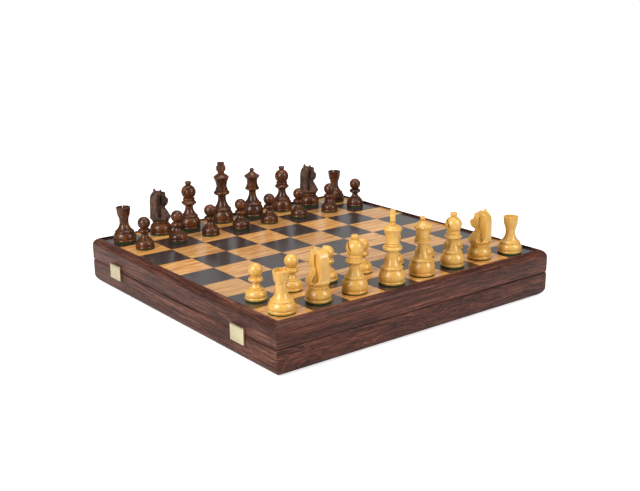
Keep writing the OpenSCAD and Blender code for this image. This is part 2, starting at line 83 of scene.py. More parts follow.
bpy.ops.object.camera_add(location=CAMERA_PLACE)
camera = bpy.context.object
camera.name = "camera"
camera.data.lens = CAMERA_LENS
camera.data.sensor_width = 36
camera.rotation_mode = "QUATERNION"
look = (CAMERA_AIM - CAMERA_PLACE).to_track_quat("-Z", "Y")
camera.rotation_quaternion = look @ Quaternion((0, 0, 1), math.radians(CAMERA_ROLL))
bpy.context.scene.camera = camera

# %% [markdown]
# Every finish is a small tree of nodes. One function turns the sRGB hex of a colour into the
# linear values that shaders use, and one adds a node with its settings and links.


# %% Colours, nodes and materials
def colour(code):
    """A colour written as sRGB hex, turned to the linear values that shaders use."""
    shares = [int(code[k : k + 2], 16) / 255 for k in (1, 3, 5)]
    return [s / 12.92 if s <= 0.04045 else ((s + 0.055) / 1.055) ** 2.4 for s in shares] + [1]


def add(tree, kind, links=None, stops=None, **settings):
    """Adds a node: settings are its own choices, links its inputs as values or other outputs."""
    node = tree.nodes.new("ShaderNode" + kind)
    for name, value in settings.items():
        setattr(node, name, value)
    for name, value in (links or {}).items():
        if isinstance(value, bpy.types.NodeSocket):
            tree.links.new(value, node.inputs[name])
        else:
            node.inputs[name].default_value = value
    for k, (place, code) in enumerate(stops or []):
        ramp = node.color_ramp.elements
        stop = ramp[k] if k < len(ramp) else ramp.new(place)
        stop.position = place
        stop.color = colour(code)
    return node


def new_material(name):
    """An empty material and its node tree."""
    material = bpy.data.materials.new(name)
    material.use_nodes = True
    material.node_tree.nodes.clear()
    return material, material.node_tree


# %% [markdown]
# The photo is a studio picture on white. Large soft lights on both sides of the camera give
# the men their two long highlights, and the left one is stronger, because the front of the box
# is lighter than its right side. The floor is white and keeps only a faint shadow. What the
# lacquer mirrors is a grey room, so the world shows white to the camera and grey to the rest.

# %% Floor, world and lights
bpy.context.scene.view_settings.view_transform = "Standard"
bpy.ops.mesh.primitive_plane_add(size=12)
floor = bpy.context.object
floor.name = "floor"
# Matt white paper. Only the camera sees its glow, which turns it pure white far from the box
paper, tree = new_material("white_paper")
sight = add(tree, "LightPath").outputs["Is Camera Ray"]
place = add(tree, "TexCoord").outputs["Object"]
away = add(tree, "VectorMath", {0: place}, operation="LENGTH").outputs["Value"]
paleness = {"Value": away, "From Min": 0.5, "From Max": 1.5, "To Min": 0.62, "To Max": 1.0}
paleness = add(tree, "MapRange", paleness).outputs[0]
glow = add(tree, "Math", {0: sight, 1: paleness}, operation="MULTIPLY").outputs[0]
surface = {
    "Base Color": colour("#e8e8e8"),
    "Roughness": 0.9,
    "Emission Color": colour("#ffffff"),
    "Emission Strength": glow,
}
add(tree, "OutputMaterial", {"Surface": add(tree, "BsdfPrincipled", surface).outputs[0]})
floor.data.materials.append(paper)

world = bpy.data.worlds.new("studio")
bpy.context.scene.world = world
world.use_nodes = True
world.node_tree.nodes.clear()
tree = world.node_tree
sight = add(tree, "LightPath").outputs["Is Camera Ray"]
room = add(tree, "Background", {"Color": colour("#b9b6b4"), "Strength": 0.27})
backdrop = add(tree, "Background", {"Color": colour("#ffffff"), "Strength": 1.05})
both = add(tree, "MixShader", {0: sight, 1: room.outputs[0], 2: backdrop.outputs[0]})
add(tree, "OutputWorld", {"Surface": both.outputs[0]})


def softbox(name, place, aim, size, power):
    """A rectangular soft light at a place, turned towards what it lights."""
    bpy.ops.object.light_add(type="AREA", location=place)
    lamp = bpy.context.object
    lamp.name = name
    lamp.data.shape = "RECTANGLE"
    lamp.data.size, lamp.data.size_y = size
    lamp.data.energy = power
    lamp.rotation_mode = "QUATERNION"
    lamp.rotation_quaternion = (Vector(aim) - Vector(place)).to_track_quat("-Z", "Y")
    lamp.visible_camera = False
    return lamp


softbox("left_softbox", (0.25, -1.5, 0.95), (0, 0, 0.08), (0.6, 1.1), 31)
softbox("right_softbox", (1.45, 0.65, 0.95), (0, 0, 0.08), (0.4, 1.1), 18)
softbox("top_softbox", (-0.1, 0.1, 1.7), (0, 0, 0.06), (1.0, 1.0), 15)
softbox("back_card", (-1.75, 1.35, 0.75), (0, 0, 0.1), (3.6, 1.4), 5)

# %% [markdown]
# The case is wenge veneer: a dark brown African wood whose straight grain runs along each
# rail in fine light and dark lines, under a thin satin lacquer. The lines are noise stretched
# along the rail, with short dark pores between them. Real lines lie about half a millimetre
# apart and would blur from this far off, so these are drawn a little coarser. A slow drift
# bends them out of straight, more in a wavy leaf than in a plain one, and each rail is cut from
# a place of its own in the log, so no two rails match.


# %% Wenge veneer
WENGE_STOPS = [(0.38, "#1e0d08"), (0.47, "#48261b"), (0.54, "#6e4334"), (0.66, "#a5725f")]
BAND_SHARE = 0.3
LAYER_STRENGTH = 0.8


def wenge(name, along, leaf, wave_mm, palest):
    """Wenge with its grain along X (0) or Y (1), from a leaf of its own and its palest tone."""
    material, tree = new_material(name)
    place = add(tree, "TexCoord").outputs["Object"]
    place = add(tree, "VectorMath", {0: place, 1: [leaf] * 3}, operation="ADD").outputs[0]

    def noise(long_mm, wide_mm, **settings):
        """Noise whose marks are so long along the grain and so wide across it."""
        scale = [1 / (wide_mm * MM)] * 3
        scale[along] = 1 / (long_mm * MM)
        spot = add(tree, "Mapping", {"Vector": place, "Scale": scale}).outputs[0]
        return add(tree, "TexNoise", {"Vector": spot, "Scale": 1.0, **settings}).outputs

    drift = noise(55, 16, Detail=1.5)["Color"]
    drift = add(tree, "VectorMath", {0: drift, 1: (0.5, 0.5, 0.5)}, operation="SUBTRACT").outputs[0]
    drift = {0: drift, "Scale": 2 * wave_mm * MM}
    drift = add(tree, "VectorMath", drift, operation="SCALE").outputs[0]
    place = add(tree, "VectorMath", {0: place, 1: drift}, operation="ADD").outputs[0]

    lines = noise(64, 0.72, Detail=4, Roughness=0.75, Distortion=0.3)["Fac"]
    bands = noise(150, 5, Detail=3, Roughness=0.6, Distortion=1.2)["Fac"]
    grain = add(tree, "Math", {0: bands, 1: BAND_SHARE}, operation="MULTIPLY").outputs[0]
    grain = {0: lines, 1: 1 - BAND_SHARE, 2: grain}
    grain = add(tree, "Math", grain, operation="MULTIPLY_ADD").outputs[0]
    shades = add(tree, "ValToRGB", {"Fac": grain}, stops=WENGE_STOPS).outputs[0]
    pores = noise(11, 0.5, Detail=2)["Fac"]
    pores = add(tree, "ValToRGB", {"Fac": pores}, stops=[(0.36, "#5c4a42"), (0.46, "#ffffff")])
    figure = noise(70, 12, Detail=2)["Fac"]
    # The tone runs up to the palest colour, which on the right side's rails is painted shade
    tone = add(tree, "ValToRGB", {"Fac": figure}, stops=[(0.32, "#a88478"), (0.68, palest)])
    for layer in (pores, tone):
        mix = {0: LAYER_STRENGTH, 1: shades, 2: layer.outputs[0]}
        shades = add(tree, "MixRGB", mix, blend_type="MULTIPLY").outputs[0]
    relief = add(tree, "Bump", {"Height": grain, "Strength": 0.3, "Distance": 0.15 * MM})
    surface = {
        "Base Color": shades,
        "Normal": relief.outputs[0],
        "Roughness": 0.5,
        "Specular IOR Level": 0.25,
        "Coat Weight": 0.04,
        "Coat Roughness": 0.3,
    }
    add(tree, "OutputMaterial", {"Surface": add(tree, "BsdfPrincipled", surface).outputs[0]})
    return material


# Leaves of the log for the eight rails. Those of the right side are a little redder and darker:
# painted shade, for the side that the lamps and the grey room reach less
LEAF_STEP = 0.7
STRAIGHT_MM = 1.2
WAVY_MM = 5.0
WHITE = "#ffffff"
RIGHT_SIDE_PAINTED_SHADE = "#f0d0bc"
SIDES = ("front", "right", "back", "left")
RAILS = [f"{half}_{side}" for half in ("base", "lid") for side in SIDES]
WENGE = {}
for k, rail in enumerate(RAILS):
    wave_mm = WAVY_MM if rail == "base_right" else STRAIGHT_MM
    # The right side's rails take the painted shade as the palest colour of their tone
    palest = RIGHT_SIDE_PAINTED_SHADE if rail.endswith("right") else WHITE
    WENGE[rail] = wenge("wenge_veneer_" + rail, k % 2, LEAF_STEP * k, wave_mm, palest)
print(len(WENGE), "leaves of wenge")

# %% [markdown]
# The board is laid with squares of oak and of ebonised veneer, all with their grain along the
# ranks, under a hard glossy lacquer. Each square is cut from another leaf. White noise that
# reads the number of the square shifts the pattern and the depth of the colour, so that one
# material makes 32 different squares.


# %% Board veneers
def square_veneer(name, stops, long_mm, wide_mm):
    """Veneer cut into squares, no two with the same grain."""
    material, tree = new_material(name)
    place = add(tree, "TexCoord").outputs["Object"]
    flat = add(tree, "VectorMath", {0: place, 1: (1, 1, 0)}, operation="MULTIPLY")
    cell = add(tree, "VectorMath", {0: flat.outputs[0], 1: (SQUARE, SQUARE, 1)}, operation="SNAP")
    chance = add(tree, "TexWhiteNoise", {"Vector": cell.outputs[0]}, noise_dimensions="3D").outputs
    shifted = add(tree, "VectorMath", {0: place, 1: chance["Color"]}, operation="ADD")
    scale = (1 / (wide_mm * MM), 1 / (long_mm * MM), 1 / (wide_mm * MM))
    along = add(tree, "Mapping", {"Vector": shifted.outputs[0], "Scale": scale}).outputs[0]
    grain = {"Vector": along, "Scale": 1.0, "Detail": 5, "Roughness": 0.66, "Distortion": 0.5}
    grain = add(tree, "TexNoise", grain).outputs["Fac"]
    shades = add(tree, "ValToRGB", {"Fac": grain}, stops=stops).outputs[0]
    level = add(tree, "MapRange", {"Value": chance["Value"], "To Min": 0.82, "To Max": 1.1})
    toned = add(tree, "VectorMath", {0: shades, "Scale": level.outputs[0]}, operation="SCALE")
    surface = {
        "Base Color": toned.outputs[0],
        "Roughness": 0.45,
        "Coat Weight": 1.0,
        "Coat Roughness": 0.18,
    }
    add(tree, "OutputMaterial", {"Surface": add(tree, "BsdfPrincipled", surface).outputs[0]})
    return material


OAK_STOPS = [(0.30, "#87491a"), (0.42, "#be7d38"), (0.54, "#db9f53"), (0.70, "#efc580")]
OAK = square_veneer("oak_veneer_lacquered", OAK_STOPS, 45, 2.4)
EBONISED_STOPS = [(0.3, "#160d0b"), (0.5, "#241714"), (0.7, "#33231f")]
EBONISED = square_veneer("ebonised_veneer_lacquered", EBONISED_STOPS, 45, 2.0)

# %% [markdown]
# The light men are boxwood, a pale yellow wood so fine that it hardly shows grain. The dark
# men are stained: streaks of orange brown between near black, which a lacquer deepens. The
# grain of a turned man stands upright, so the noise is stretched along Z. The heads of the
# dark knights are carved after turning and stay duller, so they have a finish of their own.
#
# The clasps and hinges are brass sheet, rolled and lacquered, which gives a pale, blurred
# shine with fine level lines. Felt is pressed wool: it has no shine at all, and only a fuzz at
# its edges. Its fibres are far finer than a pixel, so they are drawn 0.4 mm wide. The bottom
# and the board's core are plywood, stained and not polished.


# %% Woods, metal and felt
PATCH_SHARE = 0.4


def finish(name, grain_mm, stops, patch_mm=20, relief=0.1, **sockets):
    """A finish made of fine noise on slow patches, both of real sizes along X, Y and Z."""
    material, tree = new_material(name)
    place = add(tree, "TexCoord").outputs["Object"]
    fine = add(tree, "Mapping", {"Vector": place, "Scale": [1 / (s * MM) for s in grain_mm]})
    fine = {"Vector": fine.outputs[0], "Scale": 1.0, "Detail": 4, "Roughness": 0.6}
    fine = add(tree, "TexNoise", fine).outputs["Fac"]
    patches = {"Vector": place, "Scale": 1 / (patch_mm * MM), "Detail": 2}
    patches = add(tree, "TexNoise", patches).outputs["Fac"]
    patches = add(tree, "Math", {0: patches, 1: PATCH_SHARE}, operation="MULTIPLY").outputs[0]
    mixed = {0: fine, 1: 1 - PATCH_SHARE, 2: patches}
    mixed = add(tree, "Math", mixed, operation="MULTIPLY_ADD").outputs[0]
    shades = add(tree, "ValToRGB", {"Fac": mixed}, stops=stops)
    bump = add(tree, "Bump", {"Height": fine, "Strength": relief, "Distance": 0.1 * MM})
    surface = {"Base Color": shades.outputs[0], "Normal": bump.outputs[0]}
    surface.update({key.replace("_", " "): value for key, value in sockets.items()})
    add(tree, "OutputMaterial", {"Surface": add(tree, "BsdfPrincipled", surface).outputs[0]})
    return material


# How long a mark of the grain is along X, Y and Z, in millimetres
UPRIGHT = (1.1, 1.1, 14)
BOXWOOD = finish(
    "boxwood_polished",
    UPRIGHT,
    [(0.32, "#bd832f"), (0.48, "#d2a047"), (0.66, "#deb058")],
    Roughness=0.4,
    Coat_Weight=0.6,
    Coat_Roughness=0.22,
)
ROSEWOOD = finish(
    "rosewood_stained_lacquered",
    UPRIGHT,
    [(0.36, "#251106"), (0.50, "#46230d"), (0.66, "#7e461b")],
    patch_mm=12,
    relief=0.04,
    Roughness=0.4,
    Specular_IOR_Level=0.25,
    Coat_Weight=0.32,
    Coat_Roughness=0.13,
)
CARVED = finish(
    "rosewood_carved_dull",
    (1.4, 1.4, 6),
    [(0.38, "#1e110b"), (0.5, "#442b1c"), (0.62, "#704c36")],
    patch_mm=12,
    relief=0.3,
    Roughness=0.62,
)
BRASS = finish(
    "brass_sheet_lacquered",
    (8, 8, 0.25),
    [(0.35, "#d6c8a2"), (0.65, "#e6dab6")],
    Metallic=1.0,
    Roughness=0.36,
)
FELT_GRAIN = (0.4, 0.4, 0.4)
GREEN_FELT = finish(
    "green_felt",
    FELT_GRAIN,
    [(0.35, "#062c08"), (0.65, "#0f4d12")],
    relief=0.6,
    Roughness=1.0,
    Sheen_Weight=0.1,
)
TRAY_FELT = finish(
    "red_felt",
    FELT_GRAIN,
    [(0.35, "#48121a"), (0.65, "#742329")],
    relief=0.6,
    Roughness=1.0,
    Sheen_Weight=0.4,
)
PLYWOOD = finish(
    "stained_plywood",
    (50, 1.4, 1.4),
    [(0.35, "#5b3f28"), (0.65, "#8a6645")],
    patch_mm=60,
    Roughness=0.6,
)


# %% [markdown]
# The squares, the panels, the linings and the metal parts of the model already have the shape
# of the real ones, so they stay and only get their finish. What the veneer, the turning, the
# carving and the felt make softer or finer is modelled anew further down.


# %% Dress the nodes that stay
def dress(node, material):
    """Gives a node of the model its finish."""
    NODES[node].data.materials.clear()
    NODES[node].data.materials.append(material)


dress("light_squares", OAK)
dress("dark_squares", EBONISED)
for node in ("base_panel", "board_panel"):
    dress(node, PLYWOOD)
for node in ("base_lining", "lid_lining"):
    dress(node, TRAY_FELT)
for node in NODES:
    if "hinge" in node or "clasp" in node:
        dress(node, BRASS)

# %% [markdown]
# Every piece below starts as a primitive at its size and place and is shaped in edit mode.
# These helpers hold the few moves that come back in all of them.


# %% Modelling helpers
def only(piece):
    """Selects one piece and makes it active."""
    bpy.ops.object.select_all(action="DESELECT")
    piece.select_set(True)
    bpy.context.view_layer.objects.active = piece


def start(name):
    """Names the primitive that was just added and puts its place into its mesh."""
    piece = bpy.context.object
    piece.name = name
    bpy.ops.object.transform_apply(location=True, rotation=True, scale=True)
    return piece


def put(piece, place, turn=(0, 0, 0)):
    """Turns a piece about the origin, moves it to its place and puts both into its mesh."""
    only(piece)
    piece.rotation_euler = [math.radians(angle) for angle in turn]
    piece.location = place
    bpy.ops.object.transform_apply(location=True, rotation=True, scale=True)
    return piece


def copy_of(piece, name):
    """A copy with its own mesh."""
    only(piece)
    bpy.ops.object.duplicate()
    bpy.context.object.name = name
    return bpy.context.object


def joined(pieces):
    """Several pieces joined into the first."""
    bpy.ops.object.select_all(action="DESELECT")
    for piece in pieces:
        piece.select_set(True)
    bpy.context.view_layer.objects.active = pieces[0]
    bpy.ops.object.join()
    return pieces[0]


def block(name, low, high):
    """A block between two corners."""
    low, high = Vector(low), Vector(high)
    bpy.ops.mesh.primitive_cube_add(size=1, location=(low + high) / 2, scale=high - low)
    return start(name)


def rod(name, place, radius, length, turn=(0, 0, 0), sides=24, tip=None):
    """A round bar or cone about its middle, turned from the Z axis by angles in degrees."""
    bpy.ops.mesh.primitive_cone_add(
        vertices=sides,
        radius1=radius,
        radius2=radius if tip is None else tip,
        depth=length,
        location=place,
        rotation=[math.radians(angle) for angle in turn],
    )
    return start(name)


def pick_edges(piece, wanted):
    """Enters edit mode with the edges selected whose two ends pass a test."""
    only(piece)
    bpy.context.tool_settings.mesh_select_mode = (False, True, False)
    bpy.ops.object.mode_set(mode="EDIT")
    bpy.ops.mesh.select_all(action="DESELECT")
    bpy.ops.object.mode_set(mode="OBJECT")
    points = [v.co.copy() for v in piece.data.vertices]
    for edge in piece.data.edges:
        edge.select = wanted(points[edge.vertices[0]], points[edge.vertices[1]])
    bpy.ops.object.mode_set(mode="EDIT")


def round_picked(width, segments):
    """Rounds the picked edges and leaves edit mode."""
    bpy.ops.mesh.bevel(offset=width, segments=segments, affect="EDGES", clamp_overlap=True)
    bpy.ops.object.mode_set(mode="OBJECT")


def apply_modifier(piece, kind, **settings):
    """Adds a modifier with its settings and applies it."""
    only(piece)
    modifier = piece.modifiers.new(kind.lower(), kind)
    for name, value in settings.items():
        setattr(modifier, name, value)
    bpy.ops.object.modifier_apply(modifier=modifier.name)
    return piece


def soften(piece, width, segments=2):
    """Bevels every sharp edge of a piece."""
    sharp = math.radians(50)
    apply_modifier(
        piece, "BEVEL", width=width, segments=segments, limit_method="ANGLE", angle_limit=sharp
    )


def combine(piece, tools, operation="DIFFERENCE"):
    """Cuts a piece by each tool in turn, or joins or limits it by them, and deletes them."""
    for tool in tools:
        apply_modifier(piece, "BOOLEAN", object=tool, operation=operation, solver="EXACT")
        bpy.data.objects.remove(tool)
    return piece


def finished(piece, material, body, slot, *nodes):
    """Gives a piece its finish, its body and the nodes that it stands for; its slot is not used."""
    only(piece)
    bpy.ops.object.shade_smooth_by_angle(angle=math.radians(32))
    piece.data.materials.clear()
    piece.data.materials.append(material)
    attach(piece, body)
    if nodes:
        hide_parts(*nodes)
    return piece


# %% [markdown]
# Each shell is four mitred rails with a quarter round along the outer edge. On the bench the
# corners are sanded after gluing, so the corner's own rounding runs over both rails. To get
# that, the whole shell is shaped first, from one block: the long edge is rounded, then the
# upright corners, and the hollow is cut out. Four copies are then cut along the mitres.

# %% Case shells and rails
LID_EDGE_R = 9.5 * MM
BASE_EDGE_R = 10.5 * MM
CORNER_R = 0.8 * MM
SEAM_CHAMFER = 0.9 * MM
SOFTENING = 0.25 * MM
OVERRUN = 1 * MM
LEAF_T = 1 * MM
POCKET_GAP = 0.1 * MM
PANEL_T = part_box("base_panel")[1].z
PANEL_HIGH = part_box("base_panel")[1].x
LONG_EDGE_STEPS = 12
CORNER_STEPS = 3
NEAR = 1e-5


def shell(name, bottom, top, round_z, seam_z, edge_r):
    """A closed block with its long edges rounded at one height and chamfered at the seam."""
    piece = block(name, (CASE_LOW, CASE_LOW, bottom), (CASE_HIGH, CASE_HIGH, top))
    pick_edges(piece, lambda a, b: abs(a.z - round_z) < NEAR and abs(b.z - round_z) < NEAR)
    round_picked(edge_r, LONG_EDGE_STEPS)
    pick_edges(piece, lambda a, b: abs(a.z - seam_z) < NEAR and abs(b.z - seam_z) < NEAR)
    round_picked(SEAM_CHAMFER, 1)
    # The corner edges are those whose ends lie on the diagonals
    pick_edges(piece, lambda a, b: all(abs(abs(p.x) - abs(p.y)) < NEAR for p in (a, b)))
    round_picked(CORNER_R, CORNER_STEPS)
    return piece


def hollow(piece, reach, low, high):
    """Cuts a square hollow between two heights."""
    combine(piece, [block("cutter", (-reach, -reach, low), (reach, reach, high))])


def mitred(whole, name, side):
    """A copy of the shell that keeps one side of the box: 0 front, 1 right, 2 back, 3 left."""
    rail = copy_of(whole, name)
    bpy.ops.object.mode_set(mode="EDIT")
    for turn, way in ((-45, 1), (45, -1)):
        angle = math.radians(90 * side - 90 + turn)
        bpy.ops.mesh.select_all(action="SELECT")
        bpy.ops.mesh.bisect(
            plane_co=(0, 0, 0),
            plane_no=(-way * math.sin(angle), way * math.cos(angle), 0),
            use_fill=True,
            clear_inner=True,
        )
    bpy.ops.object.mode_set(mode="OBJECT")
    return rail


base = shell("base_shell", 0, BASE_TOP, 0, BASE_TOP, BASE_EDGE_R)
hollow(base, INNER_HIGH, -OVERRUN, BASE_TOP + OVERRUN)
hollow(base, PANEL_HIGH, -OVERRUN, PANEL_T)
lid = shell("lid_shell", LID_BOTTOM, LID_TOP, LID_TOP, LID_BOTTOM, LID_EDGE_R)
hollow(lid, INNER_HIGH, LID_BOTTOM - OVERRUN, LID_TOP + OVERRUN)
hollow(lid, FIELD_HIGH, CORE_Z, LID_TOP + OVERRUN)

# The leaves of the hinges lie flush in shallow pockets in the seam faces
GAP = Vector((POCKET_GAP, POCKET_GAP, 0))
for whole, half, face in ((base, "base", BASE_TOP), (lid, "lid", LID_BOTTOM)):
    soften(whole, SOFTENING)
    for side in ("left", "right"):
        low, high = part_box(f"{side}_hinge_{half}_leaf")
        deep = LEAF_T if half == "lid" else -LEAF_T
        low.z, high.z = sorted((face - math.copysign(OVERRUN, deep), face + deep))
        combine(whole, [block("cutter", low - GAP, high + GAP)])
    for k, side in enumerate(SIDES):
        rail = mitred(whole, f"{half}_{side}_rail_veneered", k)
        finished(rail, WENGE[f"{half}_{side}"], half, "wenge", f"{half}_{side}_rail")
        print(rail.name, len(rail.data.polygons), "faces")
    bpy.data.objects.remove(whole)

# %% [markdown]
# The men are turned on a lathe. Each outline is a list of a radius, as a share of the foot's,
# a height, as a share of the man's, and how far the line bows outwards before the next point.
# One vertex is drawn along the outline and spun into a body, as the lathe does.

# %% Outlines
ARC_STEPS = 8


def arc_between(p, q, bulge):
    """Points from p towards q on an arc that rises to the right by bulge times the chord."""
    if bulge == 0:
        return [p]
    half = 2 * math.atan(2 * bulge)
    chord = q - p
    side = Vector((chord.y, -chord.x))
    points = []
    for k in range(ARC_STEPS):
        a = (2 * k / ARC_STEPS - 1) * half
        rise = (math.cos(a) - math.cos(half)) / math.sin(half) / 2
        points.append(p + chord * (1 + math.sin(a) / math.sin(half)) / 2 + side * rise)
    return points


def outline(shares, width, height):
    """The points of an outline given in shares, from its first point back to it."""
    points = []
    for here, there in zip(shares, shares[1:] + shares[:1]):
        p = Vector((here[0] * width, here[1] * height))
        q = Vector((there[0] * width, there[1] * height))
        points += arc_between(p, q, here[2])
    return points


def mirrored(shares, width, height):
    """Both halves of a symmetric outline, from the shares of its right half."""
    right = [Vector((x * width, y * height)) for x, y in shares]
    return right + [Vector((-p.x, p.y)) for p in reversed(right) if p.x > 0]


def draw(name, points):
    """Draws a chain of edges through points in the XZ plane and stays in edit mode."""
    bpy.ops.mesh.primitive_plane_add(size=MM)
    piece = start(name)
    bpy.context.tool_settings.mesh_select_mode = (True, False, False)
    bpy.ops.object.mode_set(mode="EDIT")
    bpy.ops.mesh.merge(type="CENTER")
    bpy.ops.transform.translate(value=(points[0].x, 0, points[0].y))
    for here, there in zip(points, points[1:]):
        step = (there.x - here.x, 0, there.y - here.y)
        bpy.ops.mesh.extrude_region_move(TRANSFORM_OT_translate={"value": step})
    return piece


def turned(name, points, steps=72, axis=(0, 0, 1)):
    """Spins an outline about an axis through the origin."""
    piece = draw(name, points)
    bpy.ops.mesh.select_all(action="SELECT")
    bpy.ops.mesh.spin(steps=steps, angle=2 * math.pi, center=(0, 0, 0), axis=axis)
    bpy.ops.mesh.select_all(action="SELECT")
    bpy.ops.mesh.remove_doubles(threshold=0.002 * MM)
    bpy.ops.mesh.normals_make_consistent(inside=False)
    bpy.ops.object.mode_set(mode="OBJECT")
    return piece


def cut_plate(name, points, thickness):
    """A plate of an outline in the XZ plane, centred on it."""
    piece = draw(name, points)
    bpy.ops.mesh.select_all(action="SELECT")
    bpy.ops.mesh.edge_face_add()
    bpy.ops.transform.translate(value=(0, -thickness / 2, 0))
    bpy.ops.mesh.extrude_region_move(TRANSFORM_OT_translate={"value": (0, thickness, 0)})
    bpy.ops.mesh.select_all(action="SELECT")
    bpy.ops.mesh.normals_make_consistent(inside=False)
    bpy.ops.object.mode_set(mode="OBJECT")
    return piece


# %% [markdown]
# Each kind of man has its own outline, read along the middle of the clearest man of that kind
# in the photo. It goes from the middle of the foot up to the middle of the top: a swelling
# foot with a scored ring, a bead, a slender stem, one or more collars, and a head. A disc of
# felt is glued under the foot, so the wood starts one thickness of felt above the board.


# %% Turned bodies
SHARES = {
    "king": [
        (0, 0, 0), (0.95, 0, 0.2), (0.96, 0.035, 0), (0.93, 0.039, 0), (0.96, 0.045, 0.13),
        (0.74, 0.190, 0), (0.78, 0.196, 0.3), (0.75, 0.226, -0.13), (0.385, 0.440, 0),
        (0.60, 0.455, 0.35), (0.63, 0.510, 0), (0.52, 0.515, 0.4), (0.52, 0.542, 0),
        (0.48, 0.546, 0.4), (0.48, 0.574, 0), (0.46, 0.578, -0.06), (0.70, 0.742, 0.2),
        (0.66, 0.757, 0.08), (0.24, 0.806, 0), (0, 0.806, 0),
    ],
    "queen": [
        (0, 0, 0), (0.95, 0, 0.2), (0.96, 0.042, 0), (0.93, 0.047, 0), (0.96, 0.055, 0.12),
        (0.79, 0.228, 0), (0.83, 0.234, 0.3), (0.80, 0.266, -0.14), (0.355, 0.535, 0),
        (0.58, 0.550, 0.35), (0.62, 0.590, 0), (0.53, 0.595, 0.4), (0.53, 0.625, 0),
        (0.48, 0.630, 0.4), (0.48, 0.660, 0), (0.49, 0.665, -0.05), (0.52, 0.775, 0),
        (0.69, 0.815, 0.25), (0.63, 0.855, -0.06), (0.22, 0.925, 0), (0.12, 0.930, 0.38),
        (0.07, 0.998, 0), (0, 1, 0),
    ],
    "bishop": [
        (0, 0, 0), (0.95, 0, 0.2), (0.96, 0.045, 0), (0.93, 0.050, 0), (0.96, 0.058, 0.15),
        (0.72, 0.245, 0), (0.76, 0.250, 0.3), (0.74, 0.275, -0.12), (0.37, 0.480, 0),
        (0.48, 0.490, 0), (0.66, 0.528, 0.35), (0.66, 0.558, 0), (0.50, 0.606, 0.4),
        (0.50, 0.645, 0), (0.44, 0.655, 0.28), (0.27, 0.915, 0), (0.22, 0.922, 0),
        (0.26, 0.940, 0.2), (0.22, 1, 0), (0, 1, 0),
    ],
    "knight": [
        (0, 0, 0), (0.95, 0, 0.2), (0.96, 0.048, 0), (0.93, 0.053, 0), (0.96, 0.062, 0.16),
        (0.74, 0.225, 0), (0.69, 0.235, 0), (0.69, 0.245, 0.4), (0.69, 0.280, 0),
        (0, 0.280, 0),
    ],
    "rook": [
        (0, 0, 0), (0.95, 0, 0.2), (0.96, 0.065, 0), (0.93, 0.071, 0), (0.96, 0.083, 0.14),
        (0.78, 0.262, 0), (0.81, 0.268, 0.3), (0.78, 0.300, -0.14), (0.41, 0.620, 0),
        (0.43, 0.700, 0.1), (0.49, 0.730, 0), (0.475, 0.738, 0), (0.52, 0.752, 0),
        (0.505, 0.760, 0), (0.555, 0.790, 0), (0.62, 0.985, 0.3), (0.60, 1, 0),
        (0.50, 1, 0), (0.48, 0.930, 0), (0, 0.930, 0),
    ],
    "pawn": [
        (0, 0, 0), (0.95, 0, 0.2), (0.96, 0.072, 0), (0.93, 0.078, 0), (0.96, 0.090, 0.18),
        (0.66, 0.268, 0), (0.68, 0.275, 0.3), (0.62, 0.303, -0.14), (0.335, 0.462, 0),
        (0.46, 0.480, 0.47), (0.46, 0.612, 0), (0.36, 0.631, 0.37), (0.02, 1, 0), (0, 1, 0),
    ],
}
FELT_T = 1.2 * MM
FELT_SHARE = 0.96
# Diameter of the foot and height with the felt
SIZES = {
    "king": (29.2 * MM, 79.5 * MM),
    "queen": (28.8 * MM, 65.4 * MM),
    "bishop": (27.4 * MM, 61.5 * MM),
    "knight": (27.6 * MM, 58 * MM),
    "rook": (28.2 * MM, 43.2 * MM),
    "pawn": (22.8 * MM, 39 * MM),
}

# A pad's edge bulges a little, as pressed felt does
PAD_SHARES = [(0, 0, 0), (0.985, 0, 0.25), (0.985, 1, 0), (0, 1, 0)]

models = {}
pads = {}
for kind, shares in SHARES.items():
    diameter, height = SIZES[kind]
    points = outline(shares, diameter / 2, height - FELT_T)
    models[kind] = turned(kind, [p + Vector((0, FELT_T)) for p in points])
    pads[kind] = turned(kind + "_pad", outline(PAD_SHARES, FELT_SHARE * diameter / 2, FELT_T))
    print(f"{kind}: {len(models[kind].data.polygons)} faces, {height / MM:.1f} mm high")

# %% [markdown]
# The king's crown carries a cross with flared arms, sawn from a plate and glued in. The
# queen's coronet is filed into nine points by a round file that leans outwards, the bishop's
# mitre has one slanting saw cut, and the rook's turret six sawn notches, each of which ends
# in a small drilled hole.

# %% Cross, coronet, mitre and turret
CROSS_SHARES = [(0.70, 0), (0.70, 0.24), (1, 0.33), (1, 0.66), (0.72, 0.73), (0.74, 1)]
CROSS_HALF_W = 0.075
CROSS_T = 0.070
CROSS_SOFTENING = 0.6 * MM
king_h = SIZES["king"][1]
cross_z = 0.80 * king_h
points = mirrored(CROSS_SHARES, CROSS_HALF_W * king_h, king_h - cross_z)
cross = cut_plate("cross", [p + Vector((0, cross_z)) for p in points], CROSS_T * king_h)
soften(cross, CROSS_SOFTENING, 3)
combine(models["king"], [cross], "UNION")

CORONET_POINTS = 9
FILE_LEAN = -35
queen_d, queen_h = SIZES["queen"]
coronet_r = 0.385 * queen_d
coronet_z = 0.845 * queen_h
file_r = 0.075 * queen_d
for k in range(CORONET_POINTS):
    angle = 360 / CORONET_POINTS * k
    way = Vector((math.cos(math.radians(angle)), math.sin(math.radians(angle)), 0))
    spot = way * coronet_r + Vector((0, 0, coronet_z))
    combine(models["queen"], [rod("cutter", spot, file_r, 4 * file_r, (0, FILE_LEAN, angle))])

SLOT_LEAN = 28
bishop_d, bishop_h = SIZES["bishop"]
slot_l = 0.3 * bishop_h
slot_w = 0.02 * bishop_h
slot_x = 0.02 * bishop_d
slot_z = 0.75 * bishop_h
saw = block("cutter", (0, -slot_l, 0), (slot_w, slot_l, slot_l))
combine(models["bishop"], [put(saw, (slot_x, 0, slot_z), (0, SLOT_LEAN, 0))])

